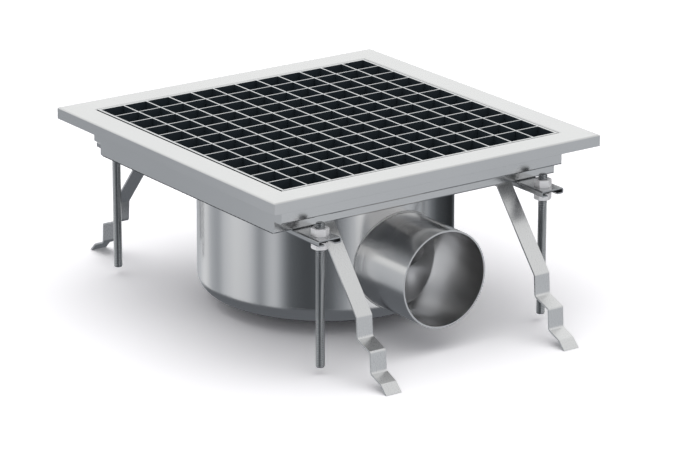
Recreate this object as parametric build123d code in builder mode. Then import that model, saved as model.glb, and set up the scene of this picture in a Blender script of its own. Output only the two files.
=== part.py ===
from build123d import *
import os

# Square floor drain of folded and welded stainless sheet steel.
# X runs along the front from left to right, Y from the front to the back, Z up.
# The origin is under the middle of the drain, at the level of the anchor tips.

os.makedirs("parts", exist_ok=True)

# Tray
rim_width = 433.5
rim_height = 207.5
lip_depth = 13.3
sheet = 1.5
bend_inside = 0.3
end_flange = 30.75
front_flange = 31.75
ledge_width = 13.0
tray_depth = 50.5

# Grating
mesh_cells = 12
bar_height = 35.0
bar_thickness = 2.0
edge_bar_thickness = 3.0
cross_bar_height = 10.0
notch_clearance = 0.1
grating_recess = 0.5
grating_side_clearance = 2.0
grating_end_clearance = 0.7

# Sump and outlet
sump_margin = 27.5
sump_depth = 141.0
knuckle_radius = 20.0
weld_land = 0.5
outlet_radius = 55.0
outlet_wall = 2.0
outlet_axis_height = 67.5
outlet_reach = 223.0
neck_stand_off = 3.0
neck_length = 25.0
neck_flare = 1.0

# Sludge basket
basket_margin = 34.0
basket_depth = 102.0
basket_overlap = 8.0
wall_slots = 24
wall_slot_width = 8.0
wall_slot_length = 60.0
floor_slots = 12
floor_slot_width = 8.0
floor_slot_length = 50.0
floor_slot_margin = 20.0
handle_radius = 4.0
handle_drop = 18.0

# Levelling rods, nuts and brackets
rod_inset = 37.0
rod_stand_off = 29.0
rod_radius = 5.0
rod_length = 161.5
rod_stick_out = 5.5
rod_chamfer = 1.0
thread_clearance = 0.05
nut_flats = 17.0
nut_height = 8.0
nut_chamfer = 1.0
bracket_width = 30.0
bracket_height = 6.7
bracket_sheet = 1.5
bracket_bend = 0.5
bracket_slot = 13.0
bracket_hole_clearance = 0.5
bracket_end = 17.5
bracket_root = 12.0

# Masonry anchors
anchor_inset = 66.75
anchor_width = 20.0
anchor_sheet = 2.0
anchor_bend = 3.0
anchor_root = 16.0
anchor_slope_reach = 70.0
anchor_drop = 23.0
anchor_lean = 1.5
anchor_kick_out = 23.5
anchor_kick_down = 8.5
anchor_toe_out = 17.5
anchor_toe_down = 7.0
anchor_tip_out = 10.0
anchor_tip_down = 10.0

# Levels
ledge_top = rim_height - grating_recess - bar_height
ledge_underside = ledge_top - sheet
floor_underside = rim_height - tray_depth
floor_top = floor_underside + sheet
sump_underside = floor_underside - sump_depth
outlet_axis = sump_underside + outlet_axis_height
bracket_top = floor_underside
bracket_bottom = bracket_top - bracket_height
rod_top = bracket_top + nut_height + rod_stick_out

# Half sizes of the tray
rim_half = rim_width / 2
inside_x = rim_half - end_flange
inside_y = rim_half - front_flange
opening_x = 2 * inside_x
opening_y = 2 * inside_y
lower_inside_y = inside_y - ledge_width
lower_outside_y = lower_inside_y + sheet
bend_outside = bend_inside + sheet

# Places that follow the tray
sump_radius = lower_inside_y - sump_margin
sump_bore = sump_radius - sheet
basket_radius = sump_radius - basket_margin
rod_x = inside_x - rod_inset
rod_y = lower_outside_y + rod_stand_off
anchor_x = inside_x - anchor_inset


def save(piece, name):
    """Label a finished piece and write it under its own name."""
    piece.label = name
    export_step(piece, f"parts/{name}.step")


def folded(points, bends, thickness):
    """Section of a folded sheet that lies on the right of a line with rounded corners."""
    with BuildSketch() as section:
        with BuildLine():
            FilletPolyline(*points, radius=bends)
            offset(amount=thickness, side=Side.RIGHT)
        make_face()
    return section.sketch


# Each corner of the drain: its name and its side in X and Y
corners = [
    ("front_left", -1, -1),
    ("front_right", 1, -1),
    ("back_left", -1, 1),
    ("back_right", 1, 1),
]

# Tray channel: one sheet folded into lip, flange, wall, ledge, lower wall and floor
front_half = [
    (-rim_half, rim_height - lip_depth),
    (-rim_half, rim_height),
    (-inside_y, rim_height),
    (-inside_y, ledge_top),
    (-lower_inside_y, ledge_top),
    (-lower_inside_y, floor_top),
]
back_half = [(-y, z) for y, z in reversed(front_half)]
front_bends = [bend_outside, bend_outside, bend_inside, bend_outside, bend_inside]
channel_bends = front_bends + front_bends[::-1]

with BuildPart() as tray_channel:
    with BuildSketch(Plane.YZ):
        add(folded(front_half + back_half, channel_bends, sheet))
    extrude(amount=rim_half, both=True)
    # The rim is mitred from the corners of the opening to the corners of the rim
    with BuildSketch(Plane.XY.offset(floor_underside)):
        Rectangle(opening_x, opening_y)
        for side_y in (-1, 1):
            with BuildLine():
                Polyline(
                    (-inside_x, side_y * inside_y),
                    (inside_x, side_y * inside_y),
                    (rim_half, side_y * rim_half),
                    (-rim_half, side_y * rim_half),
                    close=True,
                )
            make_face()
    extrude(amount=tray_depth, mode=Mode.INTERSECT)
    # Hole over the sump
    with BuildSketch(Plane.XY.offset(floor_underside)):
        Circle(sump_bore)
    extrude(amount=sheet, mode=Mode.SUBTRACT)
save(tray_channel.part, "tray_channel")

# Tray ends: a plate that closes the channel and folds out into its own flange and lip
end_line = [
    (inside_x, floor_underside),
    (inside_x, rim_height),
    (rim_half, rim_height),
    (rim_half, rim_height - lip_depth),
]
for side_name, side_x in (("left", -1), ("right", 1)):
    with BuildPart() as tray_end:
        with BuildSketch(Plane(origin=(0, 0, 0), x_dir=(side_x, 0, 0), z_dir=(0, -side_x, 0))):
            add(folded(end_line, bend_outside, sheet))
        extrude(amount=rim_half, both=True)
        with BuildSketch(Plane.XY.offset(floor_underside)):
            with BuildLine():
                Polyline(
                    (side_x * inside_x, -inside_y),
                    (side_x * rim_half, -rim_half),
                    (side_x * rim_half, rim_half),
                    (side_x * inside_x, inside_y),
                    close=True,
                )
            make_face()
        extrude(amount=tray_depth, mode=Mode.INTERSECT)
        # Below the ledges the plate is as narrow as the lower walls, with the floor's bend
        with BuildSketch(Plane.YZ):
            with Locations((0, ledge_underside)):
                Rectangle(rim_width, ledge_underside - floor_underside, align=(Align.CENTER, Align.MAX))
                RectangleRounded(
                    2 * lower_outside_y,
                    2 * (ledge_underside - floor_underside),
                    bend_outside,
                    mode=Mode.SUBTRACT,
                )
        extrude(amount=side_x * rim_half, mode=Mode.SUBTRACT)
    save(tray_end.part, f"tray_end_{side_name}")

# Sump: a rolled wall under the tray floor, and a pressed base with a rounded knuckle
base_top = sump_underside + knuckle_radius
outlet_bore = outlet_radius - outlet_wall
with BuildPart() as sump_wall:
    with BuildSketch(Plane.XY.offset(base_top)):
        Circle(sump_radius)
        Circle(sump_bore, mode=Mode.SUBTRACT)
    extrude(amount=floor_underside - base_top)
    with BuildSketch(Plane.XZ):
        with Locations((0, outlet_axis)):
            Circle(outlet_bore)
    extrude(amount=sump_radius, mode=Mode.SUBTRACT)
save(sump_wall.part, "sump_wall")

base_line = [(0, sump_underside), (sump_radius, sump_underside), (sump_radius, base_top)]
with BuildPart() as sump_base:
    with BuildSketch(Plane.XZ):
        with BuildLine():
            FilletPolyline(*base_line, radius=knuckle_radius - weld_land)
            offset(amount=sheet, side=Side.LEFT)
        make_face()
    revolve(axis=Axis.Z)
    with BuildSketch(Plane.XZ):
        with Locations((0, outlet_axis)):
            Circle(outlet_bore)
    extrude(amount=sump_radius, mode=Mode.SUBTRACT)
save(sump_base.part, "sump_base")

# Outlet: a short neck that widens to a saddle on the sump, and a plain pipe end welded to it
neck_end = sump_radius + neck_stand_off
outlet_line = Axis((0, 0, outlet_axis), (0, 1, 0))
with BuildPart() as outlet_neck:
    with BuildSketch(Plane.YZ):
        with BuildLine():
            Polyline(
                (neck_length - neck_end, outlet_axis + outlet_bore),
                (neck_length - neck_end, outlet_axis + outlet_radius + neck_flare),
                (-neck_end, outlet_axis + outlet_radius),
                (-neck_end, outlet_axis + outlet_bore),
                close=True,
            )
        make_face()
    revolve(axis=outlet_line)
    with BuildSketch(Plane.XY.offset(sump_underside)):
        Circle(sump_radius)
    extrude(amount=sump_depth, mode=Mode.SUBTRACT)
save(outlet_neck.part, "outlet_neck")

with BuildPart() as outlet_pipe:
    with BuildSketch(Plane.XZ.offset(neck_end)):
        with Locations((0, outlet_axis)):
            Circle(outlet_radius)
            Circle(outlet_bore, mode=Mode.SUBTRACT)
    extrude(amount=outlet_reach - neck_end)
save(outlet_pipe.part, "outlet_pipe")

# Sludge basket: a slotted rolled wall on a slotted disc, hung by a collar on the tray floor
basket_bottom = floor_top - basket_depth
basket_bore = basket_radius - sheet
with BuildPart() as basket_wall:
    with BuildSketch(Plane.XY.offset(basket_bottom + sheet)):
        Circle(basket_radius)
        Circle(basket_bore, mode=Mode.SUBTRACT)
    extrude(amount=basket_depth - sheet)
    slot_planes = [Plane.XZ.rotated((0, 0, turn * 360 / wall_slots)) for turn in range(wall_slots)]
    with BuildSketch(*slot_planes):
        with Locations((0, floor_top - basket_depth / 2)):
            Rectangle(wall_slot_width, wall_slot_length)
    extrude(amount=basket_radius, mode=Mode.SUBTRACT)
save(basket_wall.part, "basket_wall")

floor_slot_reach = basket_radius - floor_slot_margin
with BuildPart() as basket_floor:
    with BuildSketch(Plane.XY.offset(basket_bottom)):
        Circle(basket_radius)
        with PolarLocations(floor_slot_reach - floor_slot_length / 2, floor_slots):
            Rectangle(floor_slot_length, floor_slot_width, mode=Mode.SUBTRACT)
    extrude(amount=sheet)
save(basket_floor.part, "basket_floor")

with BuildPart() as basket_collar:
    with BuildSketch(Plane.XY.offset(floor_top)):
        Circle(sump_bore + basket_overlap)
        Circle(basket_bore, mode=Mode.SUBTRACT)
    extrude(amount=sheet)
save(basket_collar.part, "basket_collar")

# Basket handle: a round bar welded across the basket from wall to wall
with BuildPart() as handle:
    with BuildSketch(Plane.YZ):
        with Locations((0, floor_top - handle_drop)):
            Circle(handle_radius)
    extrude(amount=basket_radius, both=True)
    with BuildSketch(Plane.XY.offset(basket_bottom)):
        Circle(basket_bore)
    extrude(amount=basket_depth, mode=Mode.INTERSECT)
save(handle.part, "basket_handle")

# Grating: bearing bars from front to back, with cross bars pressed into their notches
grating_x = opening_x - 2 * grating_side_clearance
grating_y = opening_y - 2 * (bend_inside + grating_end_clearance)
span_x = grating_x - 2 * edge_bar_thickness
span_y = grating_y - 2 * edge_bar_thickness
pitch_x = span_x / mesh_cells
pitch_y = span_y / mesh_cells
grating_top = ledge_top + bar_height
bar_places = [number - mesh_cells / 2 for number in range(1, mesh_cells)]

for number, place in enumerate(bar_places, start=1):
    with BuildPart() as bearing_bar:
        with BuildSketch(Plane.YZ.offset(place * pitch_x)):
            with Locations((0, grating_top)):
                Rectangle(span_y, bar_height, align=(Align.CENTER, Align.MAX))
            with Locations((0, grating_top)), GridLocations(pitch_y, 0, mesh_cells - 1, 1):
                Rectangle(
                    bar_thickness + notch_clearance,
                    cross_bar_height,
                    align=(Align.CENTER, Align.MAX),
                    mode=Mode.SUBTRACT,
                )
        extrude(amount=bar_thickness / 2, both=True)
    save(bearing_bar.part, f"bearing_bar_{number:02d}")

    with BuildPart() as cross_bar:
        with BuildSketch(Plane.XZ.offset(-place * pitch_y)):
            with Locations((0, grating_top)):
                Rectangle(span_x, cross_bar_height, align=(Align.CENTER, Align.MAX))
        extrude(amount=bar_thickness / 2, both=True)
    save(cross_bar.part, f"cross_bar_{number:02d}")

# Edge bars: the long pair closes the ends of the bearing bars, the short pair the sides
for end_name, side in (("front", -1), ("back", 1)):
    with BuildPart() as edge_bar:
        with BuildSketch(Plane.XY.offset(ledge_top)):
            with Locations((0, side * (grating_y - edge_bar_thickness) / 2)):
                Rectangle(grating_x, edge_bar_thickness)
        extrude(amount=bar_height)
    save(edge_bar.part, f"edge_bar_{end_name}")

for side_name, side in (("left", -1), ("right", 1)):
    with BuildPart() as edge_bar:
        with BuildSketch(Plane.XY.offset(ledge_top)):
            with Locations((side * (grating_x - edge_bar_thickness) / 2, 0)):
                Rectangle(edge_bar_thickness, span_y)
        extrude(amount=bar_height)
    save(edge_bar.part, f"edge_bar_{side_name}")

# Levelling rods with two nuts each, one on either side of a bracket
for corner, side_x, side_y in corners:
    foot = (side_x * rod_x, side_y * rod_y)

    with BuildPart() as rod:
        with BuildSketch(Plane.XY.offset(rod_top - rod_length)):
            with Locations(foot):
                Circle(rod_radius)
        extrude(amount=rod_length)
        chamfer(rod.edges().filter_by(GeomType.CIRCLE), length=rod_chamfer)
    save(rod.part, f"levelling_rod_{corner}")

    for nut_name, nut_level in (("upper", bracket_top), ("lower", bracket_bottom - nut_height)):
        with BuildPart() as nut:
            with BuildSketch(Plane.XY.offset(nut_level)):
                with Locations(foot):
                    RegularPolygon(nut_flats / 2, 6, major_radius=False)
            extrude(amount=nut_height)
            # The corners are turned off at both ends
            with BuildSketch(Plane.XY.offset(nut_level)):
                with Locations(foot):
                    Circle(nut_flats / 2 + nut_chamfer)
            extrude(amount=nut_height, mode=Mode.INTERSECT)
            with BuildSketch(Plane.XY.offset(nut_level)):
                with Locations(foot):
                    Circle(rod_radius + thread_clearance)
            extrude(amount=nut_height, mode=Mode.SUBTRACT)
        save(nut.part, f"{nut_name}_nut_{corner}")

    # Bracket: a folded channel with inturned lips, welded under the edge of the tray floor
    inner_end = lower_outside_y - bracket_root
    outward = Plane(
        origin=(side_x * rod_x, side_y * inner_end, bracket_bottom),
        x_dir=(-side_y, 0, 0),
        z_dir=(0, side_y, 0),
    )
    bracket_length = rod_y + bracket_end - inner_end
    half_width = bracket_width / 2
    with BuildPart() as bracket:
        with BuildSketch(outward):
            add(
                folded(
                    [
                        (-bracket_slot / 2, 0),
                        (-half_width, 0),
                        (-half_width, bracket_height),
                        (half_width, bracket_height),
                        (half_width, 0),
                        (bracket_slot / 2, 0),
                    ],
                    bracket_sheet + bracket_bend,
                    bracket_sheet,
                )
            )
        extrude(amount=bracket_length)
        with BuildSketch(Plane.XY.offset(bracket_bottom)):
            with Locations(foot):
                Circle(rod_radius + bracket_hole_clearance)
        extrude(amount=bracket_height, mode=Mode.SUBTRACT)
    save(bracket.part, f"levelling_bracket_{corner}")

# Masonry anchors: flat straps that slope down from the tray and kick outwards twice
anchor_runs = [
    (anchor_lean, anchor_drop),
    (anchor_kick_out, anchor_kick_down),
    (anchor_lean, anchor_drop),
    (anchor_toe_out, anchor_toe_down),
    (anchor_tip_out, anchor_tip_down),
]
root_y = lower_outside_y - bend_outside
anchor_line = [
    (root_y - anchor_root, floor_underside),
    (root_y, floor_underside),
    (root_y + anchor_slope_reach, sum(down for out, down in anchor_runs)),
]
for out, down in anchor_runs:
    last_y, last_z = anchor_line[-1]
    anchor_line.append((last_y + out, last_z - down))

for corner, side_x, side_y in corners:
    beside = Plane(
        origin=(side_x * anchor_x, 0, 0),
        x_dir=(0, side_y, 0),
        z_dir=(side_y, 0, 0),
    )
    with BuildPart() as anchor:
        with BuildSketch(beside):
            add(folded(anchor_line, anchor_bend, anchor_sheet))
        extrude(amount=anchor_width / 2, both=True)
        # The tip is sheared level, so that the strap stands flat
        split(bisect_by=Plane.XY, keep=Keep.TOP)
    save(anchor.part, f"anchor_{corner}")
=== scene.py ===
from math import cos, pi, radians, sin, tan

import bpy
import numpy as np
from bpy.props import FloatProperty, FloatVectorProperty, PointerProperty
from bpy.types import Operator, Panel, PropertyGroup
from mathutils import Matrix, Vector


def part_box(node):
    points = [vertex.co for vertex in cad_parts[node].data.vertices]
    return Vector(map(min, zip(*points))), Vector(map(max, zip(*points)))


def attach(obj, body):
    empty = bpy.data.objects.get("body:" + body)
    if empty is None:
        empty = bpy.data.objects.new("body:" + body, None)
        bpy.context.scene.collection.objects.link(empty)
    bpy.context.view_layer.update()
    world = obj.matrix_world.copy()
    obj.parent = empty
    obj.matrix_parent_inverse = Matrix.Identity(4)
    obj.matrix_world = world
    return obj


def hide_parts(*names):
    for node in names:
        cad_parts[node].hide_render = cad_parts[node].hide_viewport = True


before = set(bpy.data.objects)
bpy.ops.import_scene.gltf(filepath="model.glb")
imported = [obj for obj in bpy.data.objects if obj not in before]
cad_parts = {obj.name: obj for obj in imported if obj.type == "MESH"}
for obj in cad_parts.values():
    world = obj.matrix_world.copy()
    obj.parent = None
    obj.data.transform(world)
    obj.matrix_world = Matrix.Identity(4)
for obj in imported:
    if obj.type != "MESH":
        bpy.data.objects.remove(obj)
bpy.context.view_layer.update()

bl_info = {
    "name": "Floor drain",
    "version": (1, 0, 0),
    "blender": (4, 5, 0),
    "location": "3D View > Sidebar > Floor drain",
    "description": "Threads, nuts, weld seams, steel finishes and a studio for a floor drain",
    "category": "Object",
}

CORNERS = ("front_left", "front_right", "back_left", "back_right")

# Light

# Light cards round the drain: turn from the camera in degrees, and brightness
CARDS = [
    (-180, 0.42), (-155, 0.55), (-133, 0.86), (-118, 0.47), (-109, 0.395), (-98, 0.68),
    (-85, 0.80), (-72, 0.75), (-65, 0.56), (-59, 0.26), (-50, 0.60), (-45, 0.72), (-41, 0.56),
    (-37, 0.30), (-31, 0.11), (-14, 0.07), (4, 0.12), (14, 0.30), (22, 0.52), (31, 0.94),
    (38, 0.82), (47, 0.92), (58, 0.66), (70, 0.58), (96, 0.50), (108, 0.16), (118, 0.06),
    (150, 0.02), (170, 0.20),
]
# Tint of the darkest and of the brightest card, mixed by brightness
DARK_CARD_TINT = (0.91, 1.0, 1.10)
BRIGHT_CARD_TINT = (1.0, 1.0, 1.005)
# Sky of the dome beyond the drain and behind the camera, and the dome's lowest part
SKY_FAR = (1.06, 1.07, 1.065)
SKY_NEAR = (0.62, 0.63, 0.64)
DARK_BELOW = (0.145, 0.155, 0.17)
# Bands of rise in degrees over which the dome turns from dark to cards, and from cards to sky
DARK_TO_CARDS = (-27, -21)
CARDS_TO_SKY = (2, 7)
# Colour of the dark card under the sump, and the share of the sump's radius that it covers
DARK_UNDER = (0.02, 0.02, 0.024)
UNDER_CARD = 0.82
# Place of the lamp near the sump's floor: shares of the radius, and of the room under the basket
FLOOR_LAMP = (0.73, -0.14, 0.45)
FLOOR_LAMP_RADIUS = 0.004
# Place across and up, and width, of the lamp behind the outlet, as shares of the pipe's width
OUTLET_LAMP = (0.28, -0.12, 0.30)
LAMP_TINT = (0.96, 0.985, 1.03)
# Light on the open floor, of which the light overhead is a part, and the tint of the rest
FULL_LIGHT = 1.04
SHADE_TINT = (1.0, 0.986, 1.03)
# Half width of the floor, and its level just under the anchor tips
FLOOR_REACH = 30
FLOOR_LEVEL = -0.0002
SENSOR_WIDTH = 36.0

# Shapes

# Places of four rows in one pitch of the thread: both edges of the crest, then of the root
THREAD_ROWS = (0.0, 0.2, 0.5, 0.7)
# Chamfer at the ends of a rod, as a share of the thread's depth
ROD_CHAMFER = 1.1
# Chamfer circle of a nut as a share of its half width, its countersink, and its play on the rod
CHAMFER_CIRCLE = 1.07
COUNTERSINK = 0.0006
NUT_PLAY = 0.00002
# Length of a weld ripple in radii for one radian of its wave, and girth of an open bead's ends
RIPPLE_LENGTH = 1.4
BEAD_END = 0.2
# Upward part of a path's direction from which its bead is measured against X and not Z
STEEP = 0.9
# Reach of the end seams beyond the sump's radius, and thickness of the plates they lie under
END_SEAM_REACH = 0.0275
END_SHEET = 0.0015
# Angle from which an edge is sharp, on a bead, a thread and a nut
BEAD_SHARP = radians(40)
THREAD_SHARP = radians(18)
NUT_SHARP = radians(20)
# Smallest area of a face, and distance within which points are merged
NO_AREA = 1e-12
MERGE_DISTANCE = 1e-6

# Steel

# Roughness of each finish, and scale of its grain along X, Y and Z
FINISHES = {
    "tray_sheet": (0.20, (3, 60, 60)),
    "tray_end_sheet": (0.20, (60, 3, 60)),
    "sump_sheet": (0.19, (4, 4, 90)),
    "outlet_tube": (0.19, (60, 3, 60)),
    "grating_bar": (0.32, (20, 20, 60)),
    "cross_bar": (0.32, (20, 20, 60)),
    "bracket_sheet": (0.22, (40, 8, 40)),
    "anchor_strap": (0.28, (60, 8, 8)),
    "basket_sheet": (0.25, (8, 8, 60)),
    "threaded_rod": (0.17, (30, 30, 8)),
    "hex_nut": (0.3, (30, 30, 30)),
    "weld_bead": (0.32, (40, 40, 40)),
    # Seams under the tray ends, coloured dark as painted shade
    "painted_shade_seam": (0.4, (40, 40, 40)),
}
# Scale and detail of the grain and of the wide clouds, and the values of noise that count
GRAIN_NOISE = (60.0, 4.0)
CLOUD_NOISE = (9.0, 2.0)
NOISE_ENDS = (0.3, 0.7)
# Share by which the grain changes the roughness, and strength and height of its relief
GRAIN_SPREAD = 0.04
GRAIN_STRENGTH = 0.006
GRAIN_HEIGHT = 0.00002
BEVEL_SAMPLES = 4
# Upward part of the normal from a bar's flank, which carries painted shade, to its top
FLANK_TO_TOP = (0.4, 0.7)
# Outward part of the normal from a wall's inner side to its outer side
INNER_TO_OUTER = (-0.4, -0.2)


def low_high(node):
    """Lowest and highest corner of a frame node as two arrays."""
    low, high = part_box(node)
    return np.array(low), np.array(high)


# Sizes


class DrainSizes(PropertyGroup):
    thread_pitch: FloatProperty(
        name="Thread pitch",
        description="Rise of the thread in one turn",
        default=0.002,
        subtype="DISTANCE",
        unit="LENGTH",
    )
    thread_depth: FloatProperty(
        name="Thread depth",
        description="Depth of the thread groove",
        default=0.0007,
        subtype="DISTANCE",
        unit="LENGTH",
    )
    nut_chamfer: FloatProperty(
        name="Nut chamfer",
        description="Slope of the turned corners of a nut",
        default=radians(30),
        subtype="ANGLE",
        unit="ROTATION",
    )
    seam_radius: FloatProperty(
        name="Weld bead radius",
        description="Radius of the round bead along a weld seam",
        default=0.0009,
        subtype="DISTANCE",
        unit="LENGTH",
    )
    seam_ripple: FloatProperty(
        name="Weld ripple",
        description="Share of the bead's radius by which it swells and shrinks",
        default=0.12,
        subtype="FACTOR",
    )


class DrainSteel(PropertyGroup):
    sheet_colour: FloatVectorProperty(
        name="Tray sheet",
        description="Colour of the folded tray and its rim",
        default=(0.70, 0.70, 0.70),
        subtype="COLOR",
    )
    pot_colour: FloatVectorProperty(
        name="Sump and outlet",
        description="Colour of the round pot and the pipe",
        default=(0.708, 0.705, 0.705),
        subtype="COLOR",
    )
    bar_colour: FloatVectorProperty(
        name="Grating bars",
        description="Colour of the grating",
        default=(0.68, 0.685, 0.69),
        subtype="COLOR",
    )
    cross_colour: FloatVectorProperty(
        name="Cross bars",
        description="Colour of the pressed-in cross bars of the grating",
        default=(0.56, 0.565, 0.57),
        subtype="COLOR",
    )
    # The flank colour is painted shade: near black for the shade deep in the grating's cells
    flank_shade_colour: FloatVectorProperty(
        name="Flanks of the bars",
        description="Colour of the darkened flanks of the grating bars",
        default=(0.034, 0.045, 0.053),
        subtype="COLOR",
    )
    rod_colour: FloatVectorProperty(
        name="Threaded rods",
        description="Colour of the levelling rods",
        default=(0.42, 0.43, 0.44),
        subtype="COLOR",
    )
    strap_colour: FloatVectorProperty(
        name="Anchor straps",
        description="Colour of the masonry anchors",
        default=(0.74, 0.74, 0.74),
        subtype="COLOR",
    )
    bracket_colour: FloatVectorProperty(
        name="Brackets",
        description="Colour of the levelling brackets",
        default=(0.50, 0.505, 0.515),
        subtype="COLOR",
    )
    # The seams' dark colour is painted shade: a dark line where the shadow falls under the end
    # plates
    seam_shade_colour: FloatVectorProperty(
        name="End seams",
        description="Colour of the heat-tinted seams under the tray ends",
        default=(0.10, 0.105, 0.11),
        subtype="COLOR",
    )
    nut_colour: FloatVectorProperty(
        name="Nuts",
        description="Colour of the hexagon nuts",
        default=(0.98, 0.98, 0.98),
        subtype="COLOR",
    )


class DrainStudio(PropertyGroup):
    lens: FloatProperty(
        name="Lens",
        description="Focal length of the camera",
        default=194.35,
        subtype="DISTANCE_CAMERA",
        unit="CAMERA",
    )
    aim: FloatVectorProperty(
        name="Aim",
        description="Place that the camera looks at and turns round",
        default=(0.02885, 0.01247, 0.07527),
        subtype="XYZ",
        unit="LENGTH",
    )
    distance: FloatProperty(
        name="Camera distance",
        description="Distance from the camera to the place it turns round",
        default=4.152,
        subtype="DISTANCE",
        unit="LENGTH",
    )
    azimuth: FloatProperty(
        name="Azimuth",
        description="Turn of the camera round the drain from the front",
        default=radians(-35.318),
        subtype="ANGLE",
        unit="ROTATION",
    )
    elevation: FloatProperty(
        name="Elevation",
        description="Height of the camera above the horizon",
        default=radians(18.189),
        subtype="ANGLE",
        unit="ROTATION",
    )
    roll: FloatProperty(
        name="Roll",
        description="Tilt of the camera about its own line of sight",
        default=radians(0.101),
        subtype="ANGLE",
        unit="ROTATION",
    )
    dome_radius: FloatProperty(
        name="Dome radius",
        description="Radius of the dome of light cards round the drain",
        default=3.0,
        subtype="DISTANCE",
        unit="LENGTH",
    )
    dome_strength: FloatProperty(
        name="Dome strength",
        description="Brightness of the light cards",
        default=1.0,
        min=0.0,
    )
    floor_colour: FloatVectorProperty(
        name="Floor",
        description="Colour of the studio floor",
        default=(0.97, 0.97, 0.97),
        subtype="COLOR",
    )
    floor_lift: FloatProperty(
        name="Floor lift",
        description="Factor by which the floor is brighter to the eye, for a white background",
        default=1.24,
        min=1.0,
    )
    overhead: FloatProperty(
        name="Overhead light",
        description="Share of the floor's light that comes from the soft light overhead",
        default=0.45,
        subtype="FACTOR",
    )
    spread: FloatProperty(
        name="Spread of the overhead light",
        description="Angle over which the soft light comes",
        default=radians(80),
        subtype="ANGLE",
        unit="ROTATION",
    )
    floor_power: FloatProperty(
        name="Sump lamp",
        description="Power of the small lamp over the sump's floor",
        default=0.0055,
        subtype="POWER",
        unit="POWER",
    )
    outlet_power: FloatProperty(
        name="Outlet lamp",
        description="Power of the lamp that shines out through the pipe",
        default=0.00088,
        subtype="POWER",
        unit="POWER",
    )


# Meshes


def grid_mesh(name, points, close_rows=False, close_columns=False):
    """Mesh of a grid of points: rows run along the first index, columns along the second.

    Each face joins a point to its neighbours in the next column and the next row. A closed
    direction joins its last points to its first. Faces of no area are left out.
    """
    rows, columns = points.shape[:2]
    row = np.arange(rows if close_rows else rows - 1)
    column = np.arange(columns if close_columns else columns - 1)
    here, beside = np.meshgrid(row, column, indexing="ij")
    next_row = (here + 1) % rows
    next_column = (beside + 1) % columns
    corners = np.stack(
        [
            here * columns + beside,
            here * columns + next_column,
            next_row * columns + next_column,
            next_row * columns + beside,
        ],
        axis=-1,
    ).reshape(-1, 4)
    flat = points.reshape(-1, 3)
    diagonals = flat[corners[:, 2]] - flat[corners[:, 0]], flat[corners[:, 3]] - flat[corners[:, 1]]
    area = np.linalg.norm(np.cross(*diagonals), axis=1)
    mesh = bpy.data.meshes.new(name)
    mesh.from_pydata(flat.tolist(), [], corners[area > NO_AREA].tolist())
    mesh.update()
    return mesh


def linked(name, data):
    """New object of a mesh, lamp or camera, in the scene."""
    piece = bpy.data.objects.new(name, data)
    bpy.context.collection.objects.link(piece)
    return piece


def add_piece(mesh, material, body, sharp=BEAD_SHARP):
    """Object of a mesh, shaded smooth up to an angle, riding on a body of the frame."""
    mesh.materials.append(material)
    mesh.shade_smooth()
    mesh.set_sharp_from_angle(angle=sharp)
    piece = linked(mesh.name, mesh)
    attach(piece, body)
    return piece


def weld_points(piece):
    """Merge points that lie on each other, such as at the tips of a surface."""
    weld = piece.modifiers.new("Merge", "WELD")
    weld.merge_threshold = MERGE_DISTANCE


def thread_surface(low, high, radius, pitch, depth, chamfer, columns=36):
    """Screw thread between two heights.

    A row turned by angle a lies at the height of its own place plus pitch times a over the full
    turn, so that rows follow the helix. Four rows make one pitch: both edges of the crest, then
    both edges of the root, whose radius is smaller by the depth. Heights are clipped to the two
    ends, where the radius is also held under a 45 degree cone. A point on the axis closes each
    end.
    """
    angle = np.linspace(0, 2 * pi, columns, endpoint=False)
    rows = np.arange(-4, 4 * int(np.ceil((high[2] - low[2]) / pitch)) + 5)
    share = np.array(THREAD_ROWS)[rows % 4]
    height = low[2] + pitch * ((rows // 4)[:, None] + share[:, None] + angle[None, :] / (2 * pi))
    groove = np.where(rows % 4 < 2, 0.0, depth)[:, None]
    height = np.clip(height, low[2], high[2])
    reach = np.minimum(height - low[2], high[2] - height) + radius - chamfer
    spread = np.minimum(radius - groove, reach)
    middle = (low + high) / 2
    around = np.stack(
        [
            middle[0] + spread * np.cos(angle),
            middle[1] + spread * np.sin(angle),
            height,
        ],
        axis=-1,
    )
    tip = np.array([middle[0], middle[1], 0.0])
    bottom = np.broadcast_to(tip + (0, 0, low[2]), (1, columns, 3))
    top = np.broadcast_to(tip + (0, 0, high[2]), (1, columns, 3))
    return np.concatenate([bottom, around, top])


def nut_surface(low, high, flats, bore, slope, columns=72):
    """Hexagon nut, as one profile that runs round its axis.

    At angle a the hexagon's radius is half its flats over the cosine of the angle to the middle
    of the nearest flat. The profile goes out along the bottom face to the chamfer circle, down
    the cone to the hexagon, up its side, back over the upper cone and face to the countersink,
    and down through the bore.
    """
    angle = np.linspace(0, 2 * pi, columns, endpoint=False)
    to_flat = (angle + pi / 6) % (pi / 3) - pi / 6
    hexagon = flats / 2 / np.cos(to_flat)
    circle = np.minimum(CHAMFER_CIRCLE * flats / 2, hexagon)
    drop = (hexagon - circle) * tan(slope)
    sink = np.full(columns, bore + COUNTERSINK)
    hole = np.full(columns, bore)
    bottom = np.full(columns, low[2])
    top = np.full(columns, high[2])
    radii = np.stack([hole, sink, circle, hexagon, hexagon, circle, sink, hole])
    lower = [bottom + COUNTERSINK, bottom, bottom, bottom + drop]
    upper = [top - drop, top, top, top - COUNTERSINK]
    heights = np.stack(lower + upper)
    middle = (low + high) / 2
    return np.stack(
        [middle[0] + radii * np.cos(angle), middle[1] + radii * np.sin(angle), heights], axis=-1
    )


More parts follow.
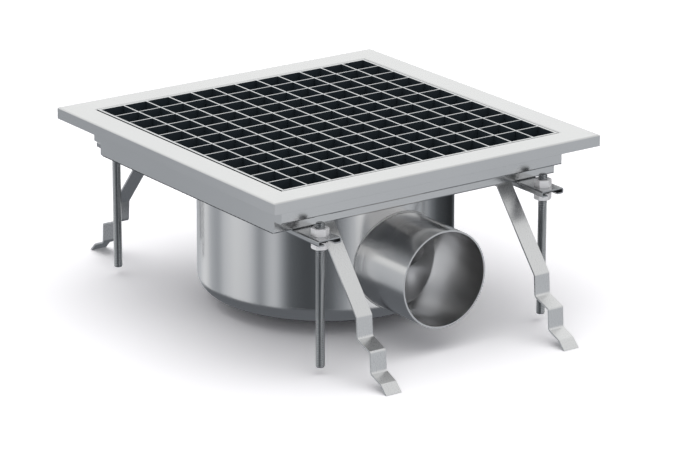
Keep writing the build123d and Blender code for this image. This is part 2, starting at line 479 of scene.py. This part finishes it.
def bead_surface(path, radius, ripple, closed, sides=10):
    """Round bead along a path.

    Each ring stands square to the path's direction, found from the neighbouring points. Its
    radius is the bead's, swelling and shrinking with the sine of the length along the path. An
    open bead is thin at both ends.
    """
    if closed:
        ahead = np.roll(path, -1, axis=0)
        behind = np.roll(path, 1, axis=0)
    else:
        ahead = np.concatenate([path[1:], path[-1:]])
        behind = np.concatenate([path[:1], path[:-1]])
    along = ahead - behind
    along /= np.linalg.norm(along, axis=1)[:, None]
    up = np.where(np.abs(along[:, 2:]) > STEEP, [[1.0, 0, 0]], [[0, 0, 1.0]])
    across = np.cross(along, up)
    across /= np.linalg.norm(across, axis=1)[:, None]
    upright = np.cross(across, along)
    steps = np.linalg.norm(np.diff(path, axis=0), axis=1)
    length = np.concatenate([[0.0], np.cumsum(steps)])
    girth = radius * (1 + ripple * np.sin(length / (RIPPLE_LENGTH * radius)))
    if not closed:
        girth[[0, -1]] *= BEAD_END
    angle = np.linspace(0, 2 * pi, sides, endpoint=False)[None, :, None]
    ring = np.cos(angle) * across[:, None] + np.sin(angle) * upright[:, None]
    return path[:, None] + girth[:, None, None] * ring


# Materials


class Nodes:
    """Node tree of a new material, with short ways to add and link nodes."""

    def __init__(self, name):
        self.material = bpy.data.materials.new(name)
        self.material.use_nodes = True
        self.tree = self.material.node_tree
        self.tree.nodes.clear()

    def add(self, kind, links=None, **values):
        """Node of a kind; values are its properties, links are sockets by name."""
        node = self.tree.nodes.new(kind)
        for key, value in values.items():
            setattr(node, key, value)
        for key, source in (links or {}).items():
            self.tree.links.new(source, node.inputs[key])
        return node

    def finish(self, shader):
        """The material, with a shader's result as its surface."""
        self.add("ShaderNodeOutputMaterial", {"Surface": shader.outputs[0]})
        return self.material


def stretched_noise(nodes, stretch, scale, detail):
    """Noise on Object coordinates, scaled by its own factor along each direction."""
    place = nodes.add("ShaderNodeTexCoord")
    stretched = nodes.add("ShaderNodeMapping", {"Vector": place.outputs["Object"]})
    stretched.inputs["Scale"].default_value = stretch
    noise = nodes.add("ShaderNodeTexNoise", {"Vector": stretched.outputs["Vector"]})
    noise.inputs["Scale"].default_value = scale
    noise.inputs["Detail"].default_value = detail
    return noise.outputs["Fac"]


def ranged(nodes, source, ends, results):
    """A value mapped from one pair of ends to another, and held there beyond them."""
    node = nodes.add("ShaderNodeMapRange", {"Value": source})
    node.inputs["From Min"].default_value, node.inputs["From Max"].default_value = ends
    node.inputs["To Min"].default_value, node.inputs["To Max"].default_value = results
    return node.outputs["Result"]


def vector_math(nodes, operation, first, second, result="Vector"):
    """Vector operation on a socket and a second socket or fixed vector."""
    node = nodes.add("ShaderNodeVectorMath", operation=operation)
    nodes.tree.links.new(first, node.inputs[0])
    if isinstance(second, tuple):
        node.inputs[1].default_value = second
    elif second is not None:
        nodes.tree.links.new(second, node.inputs[1])
    return node.outputs[result]


def blended(nodes, share, first, second):
    """Colour between two colours, each a socket or a fixed colour."""
    mix = nodes.add("ShaderNodeMix", data_type="RGBA")
    nodes.tree.links.new(share, mix.inputs[0])
    for colour, socket in ((first, mix.inputs[6]), (second, mix.inputs[7])):
        if isinstance(colour, tuple):
            socket.default_value = (*colour, 1)
        else:
            nodes.tree.links.new(colour, socket)
    return mix.outputs[2]


def flank_shade_mask(nodes):
    """1 on a bar's upright flanks, where shade is painted, and 0 on its top, by the object's
    normal.
    """
    place = nodes.add("ShaderNodeTexCoord")
    parts = nodes.add("ShaderNodeSeparateXYZ", {"Vector": place.outputs["Normal"]})
    return ranged(nodes, parts.outputs["Z"], FLANK_TO_TOP, (1.0, 0.0))


def inside_mask(nodes, centre, across, lift):
    """1 on the inner side of a round wall and 0 on its outer side.

    The way out from the axis is the Object position less the centre, without its part along the
    axis. The inner side is where the normal points against it or, with a lift above 0, upwards.
    """
    place = nodes.add("ShaderNodeTexCoord")
    arm = vector_math(nodes, "SUBTRACT", place.outputs["Object"], centre)
    arm = vector_math(nodes, "MULTIPLY", arm, across)
    outward = vector_math(nodes, "NORMALIZE", arm, None)
    upward = vector_math(nodes, "SUBTRACT", outward, (0.0, 0.0, lift))
    facing = vector_math(nodes, "DOT_PRODUCT", place.outputs["Normal"], upward, "Value")
    return ranged(nodes, facing, INNER_TO_OUTER, (1.0, 0.0))


def steel(
    name, colour, cloud=0.015, bevel=0.0002, metallic=1.0, specular=0.5, mask=None, under=None
):
    """Stainless steel: brushed grain in roughness and bump, faint clouds in colour, soft edges.

    Where the mask is 1, the colour, roughness and metal share of the second finish hold.
    """
    roughness, stretch = FINISHES[name]
    nodes = Nodes(name)
    grain = stretched_noise(nodes, stretch, *GRAIN_NOISE)
    wide = stretched_noise(nodes, (1, 1, 1), *CLOUD_NOISE)
    clouds = ranged(nodes, wide, NOISE_ENDS, (0.0, 1.0))
    dim = tuple(part * (1 - cloud) for part in colour)
    bright = tuple(min(1, part * (1 + cloud)) for part in colour)
    tone = blended(nodes, clouds, dim, bright)
    spread = (roughness * (1 - GRAIN_SPREAD), roughness * (1 + GRAIN_SPREAD))
    gloss = ranged(nodes, grain, NOISE_ENDS, spread)
    shader = nodes.add("ShaderNodeBsdfPrincipled")
    shader.inputs["Metallic"].default_value = metallic
    shader.inputs["Specular IOR Level"].default_value = specular
    if mask:
        share = mask(nodes)
        tone = blended(nodes, share, tone, under["colour"])
        rough = nodes.add("ShaderNodeMix", data_type="FLOAT")
        nodes.tree.links.new(share, rough.inputs[0])
        nodes.tree.links.new(gloss, rough.inputs[2])
        rough.inputs[3].default_value = under["roughness"]
        gloss = rough.outputs[0]
        metal = ranged(nodes, share, (0.0, 1.0), (metallic, under["metallic"]))
        nodes.tree.links.new(metal, shader.inputs["Metallic"])
    edge = nodes.add("ShaderNodeBevel", samples=BEVEL_SAMPLES)
    edge.inputs["Radius"].default_value = bevel
    relief = nodes.add("ShaderNodeBump", {"Height": grain, "Normal": edge.outputs["Normal"]})
    relief.inputs["Strength"].default_value = GRAIN_STRENGTH
    relief.inputs["Distance"].default_value = GRAIN_HEIGHT
    nodes.tree.links.new(tone, shader.inputs["Base Color"])
    nodes.tree.links.new(gloss, shader.inputs["Roughness"])
    nodes.tree.links.new(relief.outputs["Normal"], shader.inputs["Normal"])
    return nodes.finish(shader)


def dress(material, beginnings):
    """Give a material to every frame node whose name begins with one of the words."""
    for name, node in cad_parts.items():
        if name.startswith(beginnings):
            for slot in node.material_slots:
                slot.material = material


def only_reflected(piece):
    """Keep a piece out of sight and out of diffuse light, and leave it in reflections."""
    piece.visible_camera = False
    piece.visible_diffuse = False
    piece.visible_shadow = False


def sines(degrees):
    """Sines of two angles given in degrees."""
    return tuple(sin(radians(angle)) for angle in degrees)


# Operators


class DRAIN_OT_finishes(Operator):
    """Give every sheet, bar, strap and pipe of the drain its steel finish"""

    bl_idname = "drain.finishes"
    bl_label = "Steel finishes"

    def execute(self, context):
        tones = context.scene.drain_steel
        neck_low, neck_high = low_high("outlet_neck")
        pipe_centre = (0.0, 0.0, float(neck_low[2] + neck_high[2]) / 2)
        dull = {"colour": tuple(tones.pot_colour), "roughness": 0.5, "metallic": 0.3}
        soft = {"colour": tuple(tones.pot_colour), "roughness": 0.29, "metallic": 1.0}
        # Painted shade: the upright flanks of the bars get a near black, matt finish for the shade
        # deep in the cells
        dark = {"colour": tuple(tones.flank_shade_colour), "roughness": 1.0, "metallic": 0.0}
        pot = {
            "mask": lambda nodes: inside_mask(nodes, (0.0, 0.0, 0.0), (1.0, 1.0, 0.0), 1.0),
            "under": dull,
        }
        pipe = {
            "mask": lambda nodes: inside_mask(nodes, pipe_centre, (1.0, 0.0, 1.0), 0.0),
            "under": soft,
        }
        bar = {"mask": flank_shade_mask, "under": dark, "specular": 0.0}
        for name, colour, extras, beginnings in (
            ("tray_sheet", tones.sheet_colour, {}, ("tray_channel",)),
            ("tray_end_sheet", tones.sheet_colour, {}, ("tray_end",)),
            ("sump_sheet", tones.pot_colour, pot, ("sump",)),
            ("outlet_tube", tones.pot_colour, pipe, ("outlet",)),
            ("grating_bar", tones.bar_colour, bar, ("bearing_bar", "edge_bar")),
            ("cross_bar", tones.cross_colour, bar, ("cross_bar",)),
            ("bracket_sheet", tones.bracket_colour, {}, ("levelling_bracket",)),
            ("anchor_strap", tones.strap_colour, {}, ("anchor",)),
            ("basket_sheet", tones.pot_colour, {}, ("basket",)),
        ):
            dress(steel(name, colour, **extras), beginnings)
        return {"FINISHED"}


class DRAIN_OT_threads(Operator):
    """Cut the screw threads of the four levelling rods"""

    bl_idname = "drain.threads"
    bl_label = "Levelling rods"

    def execute(self, context):
        sizes = context.scene.drain_sizes
        tones = context.scene.drain_steel
        finish = steel("threaded_rod", tones.rod_colour, bevel=0.0001)
        pitch, depth = sizes.thread_pitch, sizes.thread_depth
        for corner in CORNERS:
            node = f"levelling_rod_{corner}"
            low, high = low_high(node)
            radius = (high[0] - low[0]) / 2
            points = thread_surface(low, high, radius, pitch, depth, ROD_CHAMFER * depth)
            mesh = grid_mesh(f"threaded_{node}", points, close_columns=True)
            piece = add_piece(mesh, finish, f"rod_{corner}", THREAD_SHARP)
            weld_points(piece)
            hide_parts(node)
        return {"FINISHED"}


class DRAIN_OT_nuts(Operator):
    """Turn the eight hexagon nuts with chamfered corners and countersunk holes"""

    bl_idname = "drain.nuts"
    bl_label = "Hexagon nuts"

    def execute(self, context):
        sizes = context.scene.drain_sizes
        tones = context.scene.drain_steel
        finish = steel("hex_nut", tones.nut_colour, metallic=0.3)
        rod_low, rod_high = low_high("levelling_rod_front_left")
        bore = (rod_high[0] - rod_low[0]) / 2 + NUT_PLAY
        for corner in CORNERS:
            for level in ("upper", "lower"):
                node = f"{level}_nut_{corner}"
                low, high = low_high(node)
                points = nut_surface(low, high, high[1] - low[1], bore, sizes.nut_chamfer)
                mesh = grid_mesh(f"hex_{node}", points, close_rows=True, close_columns=True)
                piece = add_piece(mesh, finish, "drain", NUT_SHARP)
                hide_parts(node)
        return {"FINISHED"}


class DRAIN_OT_welds(Operator):
    """Lay the weld beads round the outlet and the sump, and the dark seams of painted shade under
    the tray ends
    """

    bl_idname = "drain.welds"
    bl_label = "Weld seams"

    def execute(self, context):
        sizes = context.scene.drain_sizes
        tones = context.scene.drain_steel
        finish = steel("weld_bead", tones.pot_colour, cloud=0.05)
        sump_radius, _, sump_top = low_high("sump_wall")[1]
        neck_low, neck_high = low_high("outlet_neck")
        pipe_radius = (neck_high[0] - neck_low[0]) / 2
        axis_height = (neck_low[2] + neck_high[2]) / 2

        # Saddle: on the pipe's circle, as deep as the sump's round wall there
        turn = np.linspace(0, 2 * pi, 180, endpoint=False)
        x = pipe_radius * np.cos(turn)
        z = axis_height + pipe_radius * np.sin(turn)
        saddle = np.stack([x, -np.sqrt(sump_radius**2 - x**2), z], axis=-1)
        # Ring: round the top of the sump, under the tray floor
        turn = np.linspace(0, 2 * pi, 360, endpoint=False)
        height = np.full_like(turn, sump_top)
        ring = np.stack([sump_radius * np.cos(turn), sump_radius * np.sin(turn), height], axis=-1)

        for name, path in (("saddle_weld", saddle), ("sump_top_weld", ring)):
            points = bead_surface(path, sizes.seam_radius, sizes.seam_ripple, True)
            mesh = grid_mesh(name, points, close_rows=True, close_columns=True)
            add_piece(mesh, finish, "drain")

        # Seams under the lower edges of the end plates, at the level of the tray's floor, coloured
        # dark as painted shade for the shadow line under each plate
        tinted = steel("painted_shade_seam", tones.seam_shade_colour, cloud=0.05)
        reach = sump_radius + END_SEAM_REACH
        along = np.linspace(-reach, reach, 120)
        level = np.full_like(along, low_high("tray_channel")[0][2])
        plates = {
            "left": low_high("tray_end_left")[1][0] - END_SHEET / 2,
            "right": low_high("tray_end_right")[0][0] + END_SHEET / 2,
        }
        for side, plate in plates.items():
            path = np.stack([np.full_like(along, plate), along, level], axis=-1)
            points = bead_surface(path, sizes.seam_radius, sizes.seam_ripple, False)
            mesh = grid_mesh(f"end_seam_{side}", points, close_columns=True)
            add_piece(mesh, tinted, "drain")
        return {"FINISHED"}


class DRAIN_OT_studio(Operator):
    """Set up the floor, the light cards, the lamps and the camera"""

    bl_idname = "drain.studio"
    bl_label = "Studio"

    def execute(self, context):
        studio = context.scene.drain_studio
        scene = context.scene
        self.add_floor(studio)
        self.add_under_card()
        self.add_dome(studio)
        self.add_overhead(studio)
        self.add_inside_lamps(studio)
        self.add_world(scene, studio)
        self.add_camera(scene, studio)
        scene.view_settings.view_transform = "Standard"
        return {"FINISHED"}

    def add_floor(self, studio):
        """Pale floor, a square grid just under the level of the anchor tips.

        Only to the eye is it brighter by its lift, so that the background is white.
        """
        reach = np.linspace(-FLOOR_REACH, FLOOR_REACH, 7)
        x, y = np.meshgrid(reach, reach, indexing="xy")
        mesh = grid_mesh("floor", np.stack([x, y, np.full_like(x, FLOOR_LEVEL)], axis=-1))
        nodes = Nodes("floor_paint")
        seen = nodes.add("ShaderNodeLightPath").outputs["Is Camera Ray"]
        plain = tuple(studio.floor_colour)
        white = tuple(part * studio.floor_lift for part in plain)
        shader = nodes.add("ShaderNodeBsdfDiffuse", {"Color": blended(nodes, seen, plain, white)})
        mesh.materials.append(nodes.finish(shader))
        floor = linked("floor", mesh)
        floor.visible_glossy = False

    def add_under_card(self):
        """Dark round card on the floor under the sump, seen only in reflections."""
        reach = np.linspace(0, 1, 3) * UNDER_CARD * low_high("sump_base")[1][0]
        turn = np.linspace(0, 2 * pi, 49)
        out, angle = np.meshgrid(reach, turn, indexing="ij")
        disc = np.stack([out * np.cos(angle), out * np.sin(angle), np.zeros_like(out)], axis=-1)
        mesh = grid_mesh("under_card", disc)
        nodes = Nodes("dark_card")
        glow = nodes.add("ShaderNodeEmission")
        glow.inputs["Color"].default_value = (*DARK_UNDER, 1)
        mesh.materials.append(nodes.finish(glow))
        card = linked("under_card", mesh)
        only_reflected(card)

    def add_dome(self, studio):
        """Dome of light cards round the drain, seen only in its reflections.

        A ball given by its turn and its rise. Its lowest part is dark. Round the horizon stand
        upright cards, whose brightness goes by the turn from the camera. Above them is a sky that
        brightens from the camera's side to the far side.
        """
        turn = np.linspace(0, 2 * pi, 97)
        rise = np.linspace(-pi / 2, pi / 2, 49)
        angle, lift = np.meshgrid(turn, rise, indexing="ij")
        ball = studio.dome_radius * np.stack(
            [np.cos(lift) * np.cos(angle), np.cos(lift) * np.sin(angle), np.sin(lift)], axis=-1
        )
        mesh = grid_mesh("light_dome", ball)
        nodes = Nodes("light_cards")
        place = nodes.add("ShaderNodeTexCoord").outputs["Object"]
        turned = nodes.add("ShaderNodeMapping", {"Vector": place})
        turned.inputs["Rotation"].default_value = (0, 0, -studio.azimuth + pi / 2)
        sweep = nodes.add(
            "ShaderNodeTexGradient", {"Vector": turned.outputs["Vector"]}, gradient_type="RADIAL"
        )
        ramp = nodes.add("ShaderNodeValToRGB", {"Fac": sweep.outputs["Fac"]})
        ramp.color_ramp.interpolation = "EASE"
        stops = ramp.color_ramp.elements
        while len(stops) < len(CARDS):
            stops.new(0.5)
        for stop, (degrees, value) in zip(stops, CARDS):
            stop.position = (degrees + 180) / 360
            tint = np.array(DARK_CARD_TINT) * (1 - value) + np.array(BRIGHT_CARD_TINT) * value
            stop.color = (*(value * tint), 1)
        cards = ramp.outputs["Color"]

        way = vector_math(nodes, "NORMALIZE", place, None)
        height = nodes.add("ShaderNodeSeparateXYZ", {"Vector": way}).outputs["Z"]
        far = (-sin(studio.azimuth), cos(studio.azimuth), 0.0)
        toward = vector_math(nodes, "DOT_PRODUCT", way, far, "Value")
        sky = blended(nodes, ranged(nodes, toward, (-1.0, 1.0), (0.0, 1.0)), SKY_NEAR, SKY_FAR)
        above = ranged(nodes, height, sines(CARDS_TO_SKY), (0.0, 1.0))
        below = ranged(nodes, height, sines(DARK_TO_CARDS), (1.0, 0.0))
        colour = blended(nodes, above, blended(nodes, below, cards, DARK_BELOW), sky)
        glow = nodes.add("ShaderNodeEmission", {"Color": colour})
        glow.inputs["Strength"].default_value = studio.dome_strength
        mesh.materials.append(nodes.finish(glow))
        dome = linked("light_dome", mesh)
        only_reflected(dome)

    def add_overhead(self, studio):
        """Wide soft light straight overhead, which gives the floor its soft shadow."""
        lamp = bpy.data.lights.new("overhead", "SUN")
        lamp.angle = studio.spread
        lamp.energy = pi * studio.overhead
        holder = linked("overhead", lamp)
        holder.location = (0, 0, studio.dome_radius)
        holder.visible_glossy = False

    def add_inside_lamps(self, studio):
        """Two small lamps inside the sump, seen through the outlet only by their light.

        One hangs low over the sump's floor. The other is a disc in the gap between basket and
        sump wall, turned to shine out to the front through the pipe.
        """
        base_low, base_high = low_high("sump_base")
        room = low_high("basket_floor")[0][2] - base_low[2]
        neck_low, neck_high = low_high("outlet_neck")
        low = bpy.data.lights.new("sump_lamp", "POINT")
        low.shadow_soft_size = FLOOR_LAMP_RADIUS
        low.energy = studio.floor_power
        share_x, share_y, share_z = FLOOR_LAMP
        low_place = (share_x * base_high[0], share_y * base_high[0], base_low[2] + share_z * room)
        glow = bpy.data.lights.new("outlet_lamp", "AREA")
        glow.shape = "DISK"
        glow.energy = studio.outlet_power
        side, lift, glow.size = np.array(OUTLET_LAMP) * (neck_high[0] - neck_low[0])
        gap = (base_high[0] + low_high("basket_wall")[1][0]) / 2
        glow_place = (side, -gap, (neck_low[2] + neck_high[2]) / 2 + lift)
        for name, lamp, place in (("low_lamp", low, low_place), ("glow_lamp", glow, glow_place)):
            lamp.color = LAMP_TINT
            holder = linked(name, lamp)
            holder.location = place
            holder.rotation_euler = (-pi / 2, 0, 0)
            holder.visible_camera = False

    def add_world(self, scene, studio):
        """Surroundings: white to the eye and in reflections, else the rest of the floor's light."""
        world = bpy.data.worlds.new("studio")
        world.use_nodes = True
        tree = world.node_tree
        tree.nodes.clear()
        path = tree.nodes.new("ShaderNodeLightPath")
        seen = path.outputs["Is Camera Ray"]
        for kind in ("Is Glossy Ray", "Is Transmission Ray"):
            either = tree.nodes.new("ShaderNodeMath")
            either.operation = "MAXIMUM"
            tree.links.new(seen, either.inputs[0])
            tree.links.new(path.outputs[kind], either.inputs[1])
            seen = either.outputs["Value"]
        mix = tree.nodes.new("ShaderNodeMix")
        mix.data_type = "RGBA"
        tree.links.new(seen, mix.inputs[0])
        rest = FULL_LIGHT - studio.overhead
        mix.inputs[6].default_value = (*(part * rest for part in SHADE_TINT), 1)
        mix.inputs[7].default_value = (1, 1, 1, 1)
        sky = tree.nodes.new("ShaderNodeBackground")
        tree.links.new(mix.outputs[2], sky.inputs["Color"])
        out = tree.nodes.new("ShaderNodeOutputWorld")
        tree.links.new(sky.outputs["Background"], out.inputs["Surface"])
        scene.world = world

    def add_camera(self, scene, studio):
        """Camera at the photograph's angle, distance and lens."""
        lens = bpy.data.cameras.new("camera")
        lens.lens = studio.lens
        lens.sensor_width = SENSOR_WIDTH
        camera = linked("camera", lens)
        back = Vector(
            (
                sin(studio.azimuth) * cos(studio.elevation),
                -cos(studio.azimuth) * cos(studio.elevation),
                sin(studio.elevation),
            )
        )
        turn = Matrix.Rotation(studio.azimuth, 4, "Z")
        tilt = Matrix.Rotation(pi / 2 - studio.elevation, 4, "X")
        roll = Matrix.Rotation(studio.roll, 4, "Z")
        eye = Matrix.Translation(Vector(studio.aim) + studio.distance * back)
        camera.matrix_world = eye @ turn @ tilt @ roll
        scene.camera = camera


class DRAIN_PT_panel(Panel):
    """Buttons and sizes of the floor drain"""

    bl_idname = "DRAIN_PT_panel"
    bl_label = "Floor drain"
    bl_space_type = "VIEW_3D"
    bl_region_type = "UI"
    bl_category = "Floor drain"

    def draw(self, context):
        layout = self.layout
        for name in GROUPS:
            box = layout.box()
            group = getattr(context.scene, name)
            for size in group.__annotations__:
                box.prop(group, size)
        for operator in OPERATORS:
            layout.operator(operator.bl_idname)


OPERATORS = (DRAIN_OT_finishes, DRAIN_OT_threads, DRAIN_OT_nuts, DRAIN_OT_welds, DRAIN_OT_studio)
GROUPS = {"drain_sizes": DrainSizes, "drain_steel": DrainSteel, "drain_studio": DrainStudio}


def register():
    for group in GROUPS.values():
        bpy.utils.register_class(group)
    for name, group in GROUPS.items():
        setattr(bpy.types.Scene, name, PointerProperty(type=group))
    for operator in OPERATORS:
        bpy.utils.register_class(operator)
    bpy.utils.register_class(DRAIN_PT_panel)


def unregister():
    bpy.utils.unregister_class(DRAIN_PT_panel)
    for operator in reversed(OPERATORS):
        bpy.utils.unregister_class(operator)
    for name, group in GROUPS.items():
        delattr(bpy.types.Scene, name)
        bpy.utils.unregister_class(group)


def main():
    """Register the add-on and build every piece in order."""
    register()
    bpy.ops.drain.finishes()
    bpy.ops.drain.threads()
    bpy.ops.drain.nuts()
    bpy.ops.drain.welds()
    bpy.ops.drain.studio()


if __name__ == "__main__":
    main()
